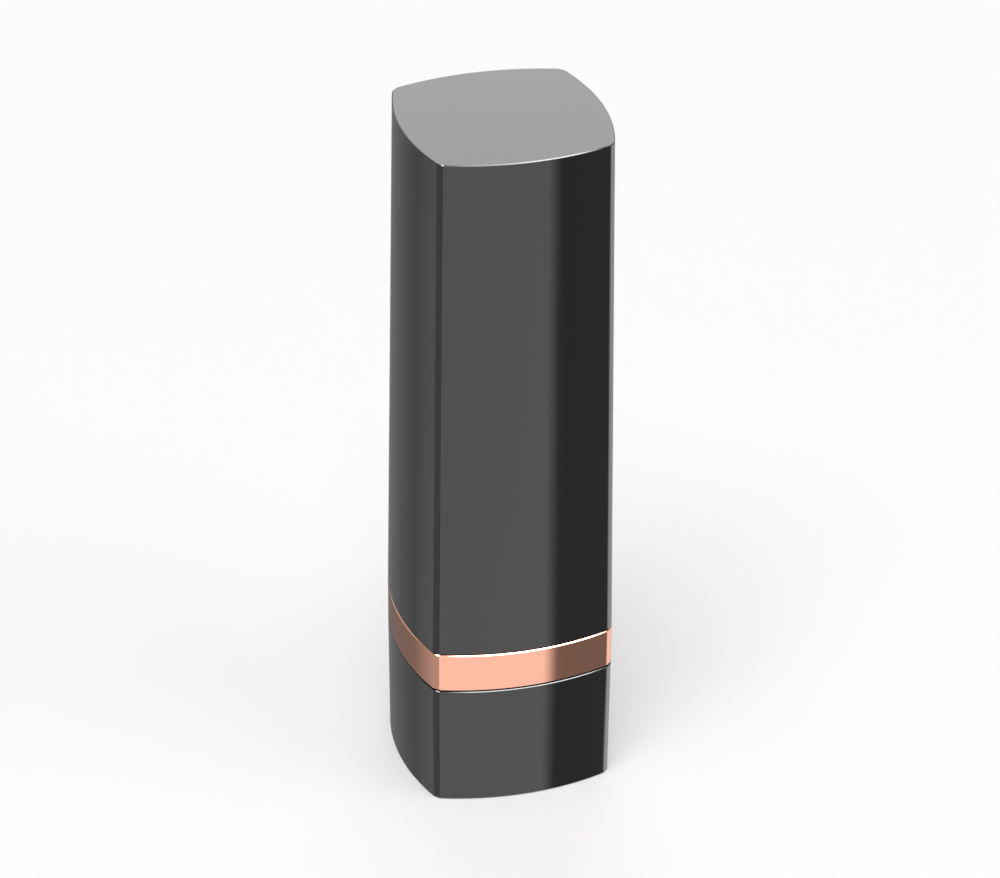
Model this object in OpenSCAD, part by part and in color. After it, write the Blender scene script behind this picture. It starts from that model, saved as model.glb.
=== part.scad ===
// Square lipstick case with a twist-up bullet. All sizes are millimetres.
// The case stands upright and closed: the origin is the middle of its foot, +Z is up,
// and two of its bowed sides face along X and two along Y.
//
// The radial sizes build outwards from the bullet and the heights build upwards from
// the foot, so a change to one piece moves everything that fits round or above it.

/* [Bullet and cup] */
// Diameter of the lipstick bullet
bullet_d = 11.1; // [9.5:0.1:12.7]
// Height of the bullet above the rim of its cup
bullet_h = 17.8; // [15:0.1:21]
// Depth of the bullet's foot inside the cup
foot_depth = 8; // [6:0.5:9]
// Radius of the arc that draws the bullet in towards its tip
bullet_arc_r = 43; // [34:1:60]
// Height above the cup at which the bullet starts to draw in
bullet_arc_start = 6.4; // [5:0.1:9]
// Slope of the slanted cut across the tip, in degrees
cut_slope = 28; // [20:1:40]
// Direction in which the cut falls, in degrees from +X
cut_heading = -79; // [-180:1:180]
// Height of the flared fillet at the bullet's foot
flare_h = 1.1; // [0.8:0.1:1.8]
// Edge of the flare where it lies on the cup
flare_edge = 0.25; // [0.15:0.05:0.4]
// Wall of the cup
cup_wall = 0.5; // [0.4:0.05:0.8]
// Floor of the cup
cup_floor = 1; // [0.8:0.1:1.5]
// Skirt of the cup below its floor
cup_skirt = 3.5; // [3:0.1:5]
// Diameter of the two lugs that drive the cup
lug_d = 1.8; // [1.4:0.1:2.2]
// Height of the lugs above the foot of the cup's skirt
lug_lift = 0.6; // [0.4:0.1:1]
// How far the lugs end inside the cam tube's outside
lug_back = 0.2; // [0.1:0.05:0.4]
// Rim that carries the cup's floor, inside the skirt
skirt_step = 0.3; // [0.1:0.05:0.5]

/* [Twist mechanism] */
// Wall of the slotted fork tube
fork_wall = 0.65; // [0.5:0.05:0.9]
// Wall of the cam tube
cam_wall = 0.8; // [0.7:0.05:1.2]
// Turns of the sleeve that bring the bullet right up
cam_turns = 1.25; // [1.25:0.25:1.75]
// How far the retracted tip lies below the rim of the upper tube
tip_sink = 0.9; // [0.4:0.1:2]
// How far the raised cup lies below the rim of the upper tube
cup_sink = 0.7; // [0.5:0.05:1.2]
// Thickness of the fork tube's flange
flange_t = 1.2; // [0.9:0.1:1.6]
// Thickness of the fork tube's snap lip
fork_lip_t = 0.6; // [0.5:0.05:0.9]
// Overhang of the fork tube's snap lip
fork_lip_w = 0.5; // [0.3:0.05:0.6]
// Thickness of the drag washer
washer_t = 0.5; // [0.4:0.05:0.8]
// Width of the two keys on the fork tube's spigot
key_w = 1.6; // [1.2:0.1:2]
// How far the keys stand out of the spigot
key_out = 0.8; // [0.6:0.05:1]

/* [Tubes and shoulder] */
// Wall of the upper tube at its rim
upper_tube_wall = 0.45; // [0.35:0.05:0.7]
// Extra radius of the upper tube at its foot
upper_tube_flare = 0.25; // [0.05:0.05:0.35]
// Height of the upper tube above the lower one
upper_tube_h = 17.4; // [15:0.1:21]
// Radius of the upper tube's rolled rim
upper_rim_r = 1.1; // [0.8:0.05:1.3]
// Thickness of the upper tube's rim
upper_rim_t = 0.6; // [0.5:0.05:0.9]
// Wall of the lower tube at its rim
lower_tube_wall = 0.95; // [0.8:0.05:1.3]
// Extra radius of the lower tube at its foot
lower_tube_flare = 0.06; // [0:0.02:0.2]
// Height of the lower tube above the shoulder
lower_tube_h = 15.5; // [13:0.1:19]
// Height of the domed shoulder, from the collar's corners to the lower tube
shoulder_h = 2.8; // [2.2:0.1:3.6]
// Radius of the shoulder's dome
shoulder_r = 7.5; // [6:0.1:10]
// How far the collar's sides stand out from the lower tube's foot
shoulder_step = 0.55; // [0.4:0.05:1]

/* [Collar and band] */
// Height of the collar's corners above the ledge
collar_h = 2.3; // [2:0.1:3.5]
// Width of the flat on each corner of the collar
collar_flat = 1.6; // [1:0.1:2]
// Width of the retaining ribs on the collar
rib_w = 1.25; // [0.8:0.05:1.5]
// How far the retaining ribs stand out
rib_out = 0.15; // [0.1:0.01:0.2]
// Height of the retaining ribs above the ledge
rib_h = 2.7; // [2:0.1:3.3]
// Width of the ledge that the cap stands on
ledge_w = 1.37; // [1.25:0.01:1.8]
// Height of the band
band_h = 4.4; // [3.4:0.1:6]

/* [Case outline] */
// Distance from the axis to the centre of each bowed side's arc
bow_offset = 16.4; // [12:0.1:24]
// Width of the flat on each corner of the case
corner_flat = 0.8; // [0.5:0.1:1.2]

/* [Base] */
// Height of the base block, up to the twist seam
base_h = 13.9; // [12.5:0.1:17]
// How much narrower the base is at its foot, on each side
base_taper = 0.12; // [0:0.02:0.4]
// Wall of the base shell
base_wall = 0.9; // [0.7:0.05:1.2]
// Floor of the base shell above the disc's recess
base_floor = 1; // [0.8:0.1:1.4]
// Radius of the disc under the base
disc_r = 9.1; // [7:0.1:9.8]
// Thickness of the disc under the base
disc_t = 0.5; // [0.4:0.05:0.8]
// How far the disc is set back from the foot
disc_inset = 0.1; // [0.05:0.05:0.3]
// Radius of the steel weight
weight_r = 9.4; // [8:0.1:9.8]
// Height of the steel weight
weight_h = 4; // [3:0.1:5]
// Floor and walls of the base core
core_wall = 1.2; // [0.9:0.1:1.5]
// Number of ribs between the core's hub and its walls
core_ribs = 8; // [4:4:12]
// How far the core lies below the twist seam
core_drop = 0.6; // [0.4:0.05:1]

/* [Cap] */
// Wall of the cap shell
cap_wall = 0.6; // [0.45:0.05:0.7]
// Top of the cap shell
cap_top_t = 1; // [0.7:0.1:1.6]
// How much narrower the cap is at its top, on each side
cap_taper = 0.74; // [0:0.02:0.8]
// Top of the cap liner
liner_top_t = 0.7; // [0.5:0.1:1.2]
// Room between the raised bullet's tip and the liner's top
tip_room = 0.4; // [0.3:0.1:3]
// Height of the straight register at the liner's mouth, above the shoulder
register_over = 1; // [0.5:0.1:3]

/* [Clearances] */
// Gap of glued and pressed pieces
seat_gap = 0.03; // [0.01:0.01:0.04]
// Radial running gap of the cup in the fork tube
slide_gap = 0.1; // [0.06:0.01:0.12]
// Radial running gap of the fork tube in the cam tube and the collar
turn_gap = 0.08; // [0.05:0.01:0.12]
// Axial running gap in the mechanism
end_gap = 0.1; // [0.05:0.01:0.15]
// Gap of the lugs in their slots, on each side
lug_gap = 0.15; // [0.1:0.01:0.25]
// Open seam between the base and the band
twist_seam = 0.15; // [0.1:0.01:0.3]
// Open seam between the band and the cap
cap_seam = 0.1; // [0.05:0.01:0.2]
// Gap between the collar and the cap liner
collar_gap = 0.1; // [0.06:0.01:0.15]

/* [Hidden] */
$fn = 144;

// Colours
lacquer = [0.07, 0.07, 0.08];
rose_gold = [0.88, 0.62, 0.52];
plum = [0.13, 0.08, 0.14];
ivory = [0.9, 0.89, 0.86];
steel = [0.6, 0.61, 0.63];
rubber = [0.16, 0.16, 0.17];
red = [0.72, 0.05, 0.08];

// Radii, from the bullet outwards
bullet_r = bullet_d / 2;
cup_bore_r = bullet_r + seat_gap;
cup_r = cup_bore_r + cup_wall;
fork_bore_r = cup_r + slide_gap;
fork_r = fork_bore_r + fork_wall;
cam_bore_r = fork_r + turn_gap;
cam_r = cam_bore_r + cam_wall;
upper_bore_r = cam_r + seat_gap;
upper_rim_out_r = upper_bore_r + upper_tube_wall;
upper_foot_r = upper_rim_out_r + upper_tube_flare;
collar_bore_r = upper_foot_r + seat_gap;
lower_rim_out_r = collar_bore_r + lower_tube_wall;
lower_foot_r = lower_rim_out_r + lower_tube_flare;
rim_hole_r = cup_r + slide_gap;
flare_r = cup_r - seat_gap;

// Half widths across the flats
collar_half = lower_foot_r + shoulder_step;
case_half = collar_half + ledge_w;
foot_half = case_half - base_taper;
cap_top_half = case_half - cap_taper;
base_bore_half = foot_half - base_wall;
core_half = base_bore_half - seat_gap;

// Heights, from the foot upwards
ledge_z = base_h + band_h;
corner_z = ledge_z + collar_h;
shoulder_z = corner_z + shoulder_h;
lower_rim_z = shoulder_z + lower_tube_h;
upper_rim_z = lower_rim_z + upper_tube_h;
cup_up_z = upper_rim_z - cup_sink;
tip_up_z = cup_up_z + bullet_h;
stroke = tip_up_z - (upper_rim_z - tip_sink);
cup_z = cup_up_z - stroke;
cup_h = foot_depth + cup_floor + cup_skirt;
lug_z = cup_z - cup_h + lug_lift + lug_d / 2;
liner_top_z = tip_up_z + tip_room + liner_top_t;
cap_ceiling_z = liner_top_z + seat_gap;
cap_top_z = cap_ceiling_z + cap_top_t;
cap_foot_z = ledge_z + cap_seam;

// Base and mechanism heights
disc_z = disc_inset;
disc_top_z = disc_z + disc_t;
base_floor_z = disc_top_z + base_floor;
weight_z = base_floor_z + seat_gap;
core_z = weight_z + weight_h + seat_gap;
core_top_z = base_h - core_drop;
flange_z = core_top_z + seat_gap;
flange_top_z = flange_z + flange_t;
cam_foot_z = flange_top_z + washer_t + end_gap;
rim_under_z = upper_rim_z - upper_rim_t;
fork_top_z = rim_under_z - end_gap;
fork_lip_z = fork_top_z - fork_lip_t;
cam_top_z = fork_lip_z - end_gap;
spigot_z = core_z + core_wall + seat_gap;

// The lugs and the slots that they run in
lug_r = lug_d / 2;
slot_w = lug_d + 2 * lug_gap;
slot_half_h = lug_r + lug_gap;
lug_reach_r = cam_r - lug_back;
cam_mid_r = (cam_bore_r + cam_r) / 2;
cam_lead = stroke / cam_turns;
helix_angle = atan(cam_lead / (2 * PI * cam_mid_r));
// Height and width of the cam slot on the tube, for the lug's clearance across the slot
cam_slot_h = (lug_d + 2 * lug_gap) / cos(helix_angle);
cam_slot_deg = 360 * cam_slot_h / cam_lead;
slices_per_turn = 48;
cam_slices = ceil(slices_per_turn * cam_turns);
lug_heading = 0;
flange_r = collar_bore_r - turn_gap;

// Hub and ribs of the base core
hub_r = fork_r + seat_gap + core_wall;
core_rib_w = core_wall * 2 / 3;

// Far enough to pass through a piece from outside
over = 1;
reach = 4 * case_half;

// The arcs of the four sides keep their centres, so walls stay even all round
function bow_r(half) = bow_offset + half;
// Where two neighbouring sides would meet, measured along X and along Y
function corner_xy(half) =
    (-bow_offset + sqrt(2 * bow_r(half) ^ 2 - bow_offset ^ 2)) / 2;
// Distance from the axis to the middle of a corner flat
function flat_at(half, flat) =
    sqrt(2) * corner_xy(half)
    - flat / 2 / tan(45 + asin(corner_xy(half) / bow_r(half)));
// Half width of the cap's outside at a height
function cap_half(z) =
    case_half - cap_taper * (z - cap_foot_z) / (cap_top_z - cap_foot_z);

// A square block with bowed sides and flat corners, which may taper evenly upwards
module case_block(z0, z1, half0, half1, flat) {
    h = z1 - z0;
    lean = atan((flat_at(half1, flat) - flat_at(half0, flat)) / h);
    translate([0, 0, z0])
        intersection() {
            intersection_for (a = [0:90:270])
                rotate(a)
                    translate([-bow_offset, 0, 0])
                        cylinder(h = h, r1 = bow_r(half0), r2 = bow_r(half1));
            intersection_for (a = [45:90:315])
                rotate(a)
                    translate([flat_at(half0, flat), 0, 0])
                        rotate([0, lean, 0])
                            translate([-reach, -reach / 2, -h])
                                cube([reach, reach, 3 * h]);
        }
}

// A tube or a disc about the axis
module ring(z0, z1, r, bore_r = 0) {
    translate([0, 0, z0])
        difference() {
            cylinder(h = z1 - z0, r = r);
            if (bore_r > 0)
                translate([0, 0, -over])
                    cylinder(h = z1 - z0 + 2 * over, r = bore_r);
        }
}

// ---- Base: what stands still on the table ----

module base_shell() {
    color(lacquer)
        difference() {
            case_block(0, base_h - twist_seam, foot_half, case_half, corner_flat);
            case_block(base_floor_z, base_h + over, base_bore_half, base_bore_half, corner_flat);
            ring(-over, disc_top_z, disc_r + seat_gap);
        }
}

module bottom_disc() {
    color(plum)
        ring(disc_z, disc_top_z, disc_r);
}

module base_weight() {
    color(steel)
        ring(weight_z, weight_z + weight_h, weight_r);
}

// Moulded plug in the base shell, whose hub holds the fork tube against turning
module base_core() {
    color(ivory)
        difference() {
            union() {
                difference() {
                    case_block(core_z, core_top_z, core_half, core_half, corner_flat);
                    case_block(core_z + core_wall, core_top_z + over,
                               core_half - core_wall, core_half - core_wall, corner_flat);
                }
                ring(core_z, core_top_z, hub_r);
                intersection() {
                    case_block(core_z, core_top_z, core_half - core_wall / 2,
                               core_half - core_wall / 2, corner_flat);
                    for (i = [0:core_ribs - 1])
                        rotate((i + 0.5) * 360 / core_ribs)
                            translate([hub_r - core_wall / 2, -core_rib_w / 2, core_z])
                                cube([reach, core_rib_w, core_top_z - core_z - core_wall]);
                }
            }
            ring(spigot_z - seat_gap, core_top_z + over, fork_r + seat_gap);
            fork_keys(spigot_z - seat_gap, core_top_z + over, seat_gap);
        }
}

// Keys on the fork tube's spigot, also cut out of the core with a gap
module fork_keys(z0, z1, gap) {
    for (a = [45, 225])
        rotate(a)
            translate([fork_r - over, -key_w / 2 - gap, z0])
                cube([over + key_out + gap, key_w + 2 * gap, z1 - z0]);
}

// Slotted tube that guides the cup straight up, fixed in the base
module fork_tube() {
    color(ivory)
        difference() {
            union() {
                ring(spigot_z, fork_top_z, fork_r);
                ring(flange_z, flange_top_z, flange_r);
                ring(fork_lip_z, fork_top_z, fork_r + fork_lip_w);
                fork_keys(spigot_z, core_top_z, 0);
            }
            ring(spigot_z - over, fork_top_z + over, fork_bore_r);
            for (a = [0, 180])
                rotate(lug_heading + a)
                    translate([0, -slot_w / 2, lug_z - slot_half_h])
                        cube([cam_bore_r, slot_w, stroke + 2 * slot_half_h]);
        }
}

// Rubber washer that gives the twist its drag
module drag_washer() {
    color(rubber)
        ring(flange_top_z, flange_top_z + washer_t, cam_r, cam_bore_r);
}

// ---- Sleeve: what turns on the base ----

module collar_band() {
    color(rose_gold)
        difference() {
            case_block(base_h, ledge_z, case_half, case_half, corner_flat);
            case_block(base_h - over, ledge_z + over, collar_half + seat_gap,
                       collar_half + seat_gap, collar_flat);
        }
}

// Profile of the domed shoulder: an arc through the lower tube's foot and the corners
module shoulder_profile() {
    corner_r = flat_at(collar_half, collar_flat);
    chord = [corner_r - lower_foot_r, corner_z - shoulder_z];
    chord_l = norm(chord);
    back = sqrt(shoulder_r ^ 2 - (chord_l / 2) ^ 2);
    centre = [(corner_r + lower_foot_r) / 2 + back * chord[1] / chord_l,
              (corner_z + shoulder_z) / 2 - back * chord[0] / chord_l];
    intersection() {
        translate(centre)
            circle(r = shoulder_r);
        translate([0, centre[1]])
            square([2 * case_half, shoulder_z - centre[1]]);
    }
    translate([0, base_h])
        square([centre[0] + shoulder_r, centre[1] - base_h]);
}

// Profile of the lower tube, with its rounded rim
module lower_tube_profile() {
    rim_r = lower_rim_out_r - collar_bore_r;
    polygon([[0, corner_z], [lower_foot_r, corner_z], [lower_foot_r, shoulder_z],
             [lower_rim_out_r, lower_rim_z - rim_r], [0, lower_rim_z - rim_r]]);
    translate([lower_rim_out_r - rim_r, lower_rim_z - rim_r])
        circle(r = rim_r);
    translate([0, lower_rim_z - rim_r])
        square([lower_rim_out_r - rim_r, rim_r]);
}

// Square collar with its ribs, domed shoulder and lower tube, in one moulding
module collar() {
    color(rose_gold)
        difference() {
            union() {
                intersection() {
                    case_block(base_h, shoulder_z + over, collar_half, collar_half, collar_flat);
                    rotate_extrude()
                        shoulder_profile();
                }
                rotate_extrude()
                    intersection() {
                        lower_tube_profile();
                        square([lower_foot_r + over, lower_rim_z]);
                    }
                for (a = [0:90:270])
                    rotate(a)
                        retaining_rib();
            }
            ring(base_h - over, lower_rim_z + over, collar_bore_r);
        }
}

// One flat rib with a round top, in the middle of a side
module retaining_rib() {
    r = rib_w / 2;
    translate([collar_half - lower_tube_wall / 2, 0, ledge_z])
        rotate([90, 0, 90])
            linear_extrude(height = lower_tube_wall / 2 + rib_out) {
                translate([-r, 0])
                    square([rib_w, rib_h - r]);
                translate([0, rib_h - r])
                    circle(r = r, $fn = 32);
            }
}

// Drawn tube with a rolled rim, pressed into the collar
module upper_tube() {
    color(rose_gold)
        rotate_extrude()
            difference() {
                union() {
                    polygon([[0, cam_foot_z], [upper_foot_r, cam_foot_z],
                             [upper_foot_r, lower_rim_z],
                             [upper_rim_out_r, upper_rim_z - upper_rim_r],
                             [0, upper_rim_z - upper_rim_r]]);
                    translate([upper_rim_out_r - upper_rim_r, upper_rim_z - upper_rim_r])
                        circle(r = upper_rim_r);
                    translate([0, upper_rim_z - upper_rim_r])
                        square([upper_rim_out_r - upper_rim_r, upper_rim_r]);
                }
                translate([0, cam_foot_z - over])
                    square([upper_bore_r, rim_under_z - cam_foot_z + over]);
                translate([-over, cam_foot_z - over])
                    square([rim_hole_r + over, upper_rim_z - cam_foot_z + 2 * over]);
                translate([-reach, 0])
                    square([reach, upper_rim_z + over]);
            }
}

// One helical slot, climbing anticlockwise from where the lug rests
module helical_slot() {
    climb = stroke + cam_slot_h;
    out_r = (cam_r + over) / cos(cam_slot_deg / 2);
    in_r = cam_bore_r - over;
    half = cam_slot_deg / 2;
    translate([0, 0, lug_z - cam_slot_h / 2])
        rotate(lug_heading - half)
            linear_extrude(height = climb, twist = -360 * climb / cam_lead,
                           slices = cam_slices, segments = 4)
                polygon([[in_r * cos(half), -in_r * sin(half)],
                         [out_r * cos(half), -out_r * sin(half)],
                         [out_r * cos(half), out_r * sin(half)],
                         [in_r * cos(half), in_r * sin(half)]]);
}

// Cam tube with two helical slots, and the straight slots that let the lugs in
module cam_tube() {
    color(ivory)
        difference() {
            ring(cam_foot_z, cam_top_z, cam_r, cam_bore_r);
            for (a = [0, 180])
                rotate(a) {
                    helical_slot();
                    rotate(lug_heading)
                        translate([0, -slot_w / 2, cam_foot_z - over])
                            cube([cam_r + over, slot_w, lug_z - cam_foot_z + over]);
                }
        }
}

// ---- Carrier: what rises ----

module cup() {
    color(ivory)
        difference() {
            union() {
                ring(cup_z - cup_h, cup_z, cup_r);
                translate([0, 0, lug_z])
                    rotate([90, 0, lug_heading + 90])
                        cylinder(h = 2 * lug_reach_r, r = lug_r, center = true, $fn = 32);
            }
            ring(cup_z - foot_depth, cup_z + over, cup_bore_r);
            ring(cup_z - cup_h - over, cup_z - foot_depth - cup_floor, cup_bore_r - skirt_step);
        }
}

module bullet() {
    // Radius of the drawn-in side at the height of the tip
    rise = bullet_h - bullet_arc_start;
    tip_r = bullet_r - bullet_arc_r + sqrt(bullet_arc_r ^ 2 - rise ^ 2);
    fillet_r = flare_r - bullet_r;
    arc_r = ((flare_h - flare_edge) ^ 2 + fillet_r ^ 2) / (2 * fillet_r);
    color(red)
        translate([0, 0, cup_z])
            difference() {
                rotate_extrude() {
                    translate([0, -foot_depth])
                        square([bullet_r, foot_depth + bullet_arc_start]);
                    intersection() {
                        translate([bullet_r - bullet_arc_r, bullet_arc_start])
                            circle(r = bullet_arc_r, $fn = 720);
                        translate([0, bullet_arc_start])
                            square([bullet_r, rise + over]);
                    }
                    difference() {
                        square([flare_r, flare_h]);
                        translate([bullet_r + arc_r, flare_h])
                            circle(r = arc_r);
                    }
                }
                rotate(cut_heading)
                    translate([-tip_r, 0, bullet_h])
                        rotate([0, cut_slope, 0])
                            translate([-reach / 2, -reach / 2, 0])
                                cube(reach);
            }
}

// ---- Cap: what pulls off ----

module cap_shell() {
    color(lacquer)
        difference() {
            case_block(cap_foot_z, cap_top_z, case_half, cap_top_half, corner_flat);
            case_block(cap_foot_z - over, cap_ceiling_z, cap_half(cap_foot_z - over) - cap_wall,
                       cap_half(cap_ceiling_z) - cap_wall, corner_flat);
        }
}

// Moulded liner: its straight mouth fits the collar, and its grooves clear the ribs
module cap_liner() {
    gap = cap_wall + seat_gap;
    liner_wall = case_half - gap - collar_half - collar_gap;
    register_z = shoulder_z + register_over;
    inner_top_z = liner_top_z - liner_top_t;
    color(ivory)
        difference() {
            case_block(cap_foot_z, liner_top_z, case_half - gap,
                       cap_half(liner_top_z) - gap, corner_flat);
            case_block(cap_foot_z - over, register_z, collar_half + collar_gap,
                       collar_half + collar_gap, collar_flat);
            case_block(register_z - over, inner_top_z, cap_half(register_z - over) - gap - liner_wall,
                       cap_half(inner_top_z) - gap - liner_wall, collar_flat);
            for (a = [0:90:270])
                rotate(a)
                    translate([0, -rib_w / 2 - collar_gap, cap_foot_z - over])
                        cube([collar_half + rib_out + collar_gap, rib_w + 2 * collar_gap,
                              rib_h + over + collar_gap]);
        }
}

base_shell();
bottom_disc();
base_weight();
base_core();
fork_tube();
drag_washer();
collar_band();
collar();
upper_tube();
cam_tube();
cup();
bullet();
cap_shell();
cap_liner();
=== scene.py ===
"""Looks of a square twist-up lipstick case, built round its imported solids.

Eight pieces are modelled here with softened edges, each in place of one solid: the cap and its
lining, the band, the collar, the upper tube, the base, the disc and the bullet. The six solids
that work inside the case stay, and get finishes of their own. Lengths are in metres, in the
solids' own frame: the case stands on z = 0, and its axis is the Z axis."""

import math

import bpy
from mathutils import Matrix, Vector


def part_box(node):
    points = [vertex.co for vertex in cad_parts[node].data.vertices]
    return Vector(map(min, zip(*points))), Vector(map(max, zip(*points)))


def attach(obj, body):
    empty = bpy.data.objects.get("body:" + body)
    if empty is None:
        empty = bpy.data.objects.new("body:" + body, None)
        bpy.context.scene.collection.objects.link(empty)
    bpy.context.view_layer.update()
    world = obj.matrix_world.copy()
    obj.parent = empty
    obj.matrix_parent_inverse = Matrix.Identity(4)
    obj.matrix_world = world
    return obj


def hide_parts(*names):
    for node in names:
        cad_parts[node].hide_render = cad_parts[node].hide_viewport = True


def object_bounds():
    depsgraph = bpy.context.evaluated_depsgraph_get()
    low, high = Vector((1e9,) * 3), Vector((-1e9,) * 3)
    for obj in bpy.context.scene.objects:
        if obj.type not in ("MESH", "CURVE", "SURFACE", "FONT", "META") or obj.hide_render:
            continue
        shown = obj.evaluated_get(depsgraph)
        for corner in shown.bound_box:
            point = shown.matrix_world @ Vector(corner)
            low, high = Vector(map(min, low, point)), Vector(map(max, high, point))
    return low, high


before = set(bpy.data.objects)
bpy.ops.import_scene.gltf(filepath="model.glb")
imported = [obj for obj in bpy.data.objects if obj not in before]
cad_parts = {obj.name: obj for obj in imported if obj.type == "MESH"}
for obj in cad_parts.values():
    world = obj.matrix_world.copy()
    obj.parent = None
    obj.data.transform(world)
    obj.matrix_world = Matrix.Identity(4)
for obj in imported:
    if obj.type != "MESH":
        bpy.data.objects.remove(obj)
CAD_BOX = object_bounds()

bl_info = {
    "name": "Lipstick Case",
    "version": (1, 0, 0),
    "blender": (4, 5, 0),
    "location": "View3D > Sidebar > Lipstick",
    "description": "Builds the lacquered and rose-gold pieces of a twist-up lipstick case",
    "category": "Object",
}

MM = 0.001
MICRON = 0.001 * MM


# ---- Sizes and colours that a user would change ----

def length(title, about, value):
    """A length property, in metres, from a value in millimetres."""
    return bpy.props.FloatProperty(
        name=title, description=about, default=value * MM, min=0, unit="LENGTH", precision=5
    )


def angle(title, about, value):
    """An angle property, in radians, from a value in degrees."""
    return bpy.props.FloatProperty(
        name=title, description=about, default=math.radians(value), subtype="ANGLE"
    )


def colour(title, about, value):
    """A colour property."""
    return bpy.props.FloatVectorProperty(
        name=title, description=about, default=value, min=0, max=1, size=3, subtype="COLOR"
    )


class CaseSizes(bpy.types.PropertyGroup):
    """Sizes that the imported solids' boxes don't give."""

    bow_offset: length("Bow offset", "From the axis to the centre of each side's arc", 16.4)
    case_flat: length("Case corner", "Width of the flat on each corner of the case", 0.8)
    collar_flat: length("Collar corner", "Width of the flat on each corner of the collar", 1.6)
    cap_taper: length("Cap taper", "How much the cap draws in to its top, on each side", 0.74)
    base_taper: length("Base taper", "How much the base draws in to its foot, on each side", 0.12)
    edge: length("Edge", "Width of the softened edges of the case", 0.09)
    cap_wall: length("Cap wall", "Thickness of the cap's sides", 0.6)
    cap_top: length("Cap top", "Thickness of the cap's top", 1.0)
    liner_gap: length("Lining gap", "Gap round the collar and its ribs inside the lining", 0.1)
    liner_mouth: length("Lining mouth", "How far the close mouth runs past the shoulder", 1.0)
    liner_top: length("Lining top", "Thickness of the lining's top", 0.7)
    base_wall: length("Base wall", "Thickness of the base's sides", 0.9)
    base_floor: length("Base floor", "Floor of the base above the disc", 1.0)
    seat_gap: length("Seat gap", "Gap of glued and pressed pieces", 0.03)
    rib_width: length("Rib width", "Width of the ribs on the collar", 1.25)
    rib_out: length("Rib height", "How far the ribs stand out of the collar", 0.15)
    rib_top: length("Rib top", "Top of the ribs above the ledge", 2.7)
    shoulder_radius: length("Shoulder radius", "Radius of the domed shoulder", 7.5)
    shoulder_height: length("Shoulder height", "Shoulder above the collar's corners", 2.8)
    collar_height: length("Collar height", "Collar's corners above the ledge", 2.3)
    lower_tube_foot: length("Lower tube", "Radius of the lower tube at its foot", 9.48)
    lower_tube_rim: length("Lower tube rim", "Radius of the lower tube at its rim", 9.42)
    lower_tube_bore: length("Lower tube bore", "Radius of the lower tube's bore", 8.47)
    upper_tube_rim: length("Upper tube rim", "Radius of the upper tube at its rim", 8.19)
    upper_tube_bore: length("Upper tube bore", "Radius of the upper tube's bore", 7.74)
    upper_rim_radius: length("Rolled rim", "Radius of the upper tube's rolled rim", 1.1)
    upper_rim_thickness: length("Rim thickness", "Thickness of the upper tube's rim", 0.6)
    rim_hole: length("Rim hole", "Radius of the hole that the bullet comes through", 6.18)
    bullet_radius: length("Bullet", "Radius of the bullet", 5.55)
    bullet_arc: length("Bullet arc", "Radius of the arc that draws the bullet in", 43.0)
    bullet_arc_start: length("Bullet arc start", "Where it draws in, above the cup", 6.4)
    flare_height: length("Flare height", "Height of the flare at the bullet's foot", 1.1)
    flare_edge: length("Flare edge", "Edge of the flare where it lies on the cup", 0.25)
    cut_round: length("Cut round", "Radius of the round at the rim of the slanted cut", 0.22)
    cut_slope: angle("Cut slope", "Slope of the slanted cut", 28)
    cut_heading: angle("Cut heading", "Direction in which the cut falls", -79)


class CaseColours(bpy.types.PropertyGroup):
    """Colours of the finishes."""

    lacquer: colour("Lacquer", "Black lacquer of the cap and the base", (0.010, 0.010, 0.011))
    rose_gold: colour("Rose gold", "Anodised band, collar and tubes", (0.93, 0.47, 0.345))
    plum: colour("Plum", "Disc under the base", (0.032, 0.017, 0.036))
    wax: colour("Wax", "Lipstick", (0.74, 0.016, 0.028))
    ivory: colour("Ivory", "Moulded plastic inside the case", (0.78, 0.76, 0.70))
    steel: colour("Steel", "Weight in the base", (0.56, 0.57, 0.58))
    rubber: colour("Rubber", "Drag washer", (0.03, 0.03, 0.032))
    floor: colour("Floor", "Pale floor that the case stands on", (0.86, 0.86, 0.86))


class StudioSettings(bpy.types.PropertyGroup):
    """Camera, lamps and surroundings."""

    camera_place: bpy.props.FloatVectorProperty(
        name="Camera", description="Place of the camera", default=(-0.11207, -0.38882, 0.27307),
        subtype="TRANSLATION", unit="LENGTH",
    )
    camera_roll: angle("Roll", "Turn of the camera about its view", 0.43)
    camera_lens: bpy.props.FloatProperty(
        name="Lens", description="Focal length of the camera", default=160, min=1, unit="CAMERA",
    )
    lamp_power: bpy.props.FloatProperty(
        name="Lamps", description="Factor on the power of all lamps", default=1.0, min=0,
        subtype="FACTOR",
    )
    room_light: bpy.props.FloatProperty(
        name="Room", description="Even light from the surroundings", default=0.42, min=0,
        subtype="FACTOR",
    )


def sizes():
    """The sizes in use."""
    return bpy.context.scene.case_sizes


def colours():
    """The colours in use."""
    return bpy.context.scene.case_colours


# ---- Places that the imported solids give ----

def low(node):
    """Height of the bottom of a node."""
    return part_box(node)[0].z


def high(node):
    """Height of the top of a node."""
    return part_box(node)[1].z


def reach(node):
    """How far a node reaches from the axis along X."""
    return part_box(node)[1].x


def collar_half():
    """From the axis to the middle of a side of the collar, without its rib."""
    return reach("collar") - sizes().rib_out


def shoulder_top():
    """Height at which the domed shoulder meets the lower tube."""
    return high("collar_band") + sizes().collar_height + sizes().shoulder_height


# ---- Modelling helpers ----

ON_PLANE = 1e-7     # a vertex this near a cutting plane lies on it
SAME_PLACE = 1e-6   # vertices this near each other are merged
BREAK_ANGLE = 18    # edges that turn by more degrees are broken
CREASE_ANGLE = 30   # edges that turn by more degrees stay sharp
PAST = MM           # how far a cutting shape reaches past the piece that it cuts


def deselect():
    """Leaves no object selected, so that the next operator acts on nothing else."""
    bpy.ops.object.select_all(action="DESELECT")


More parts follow.
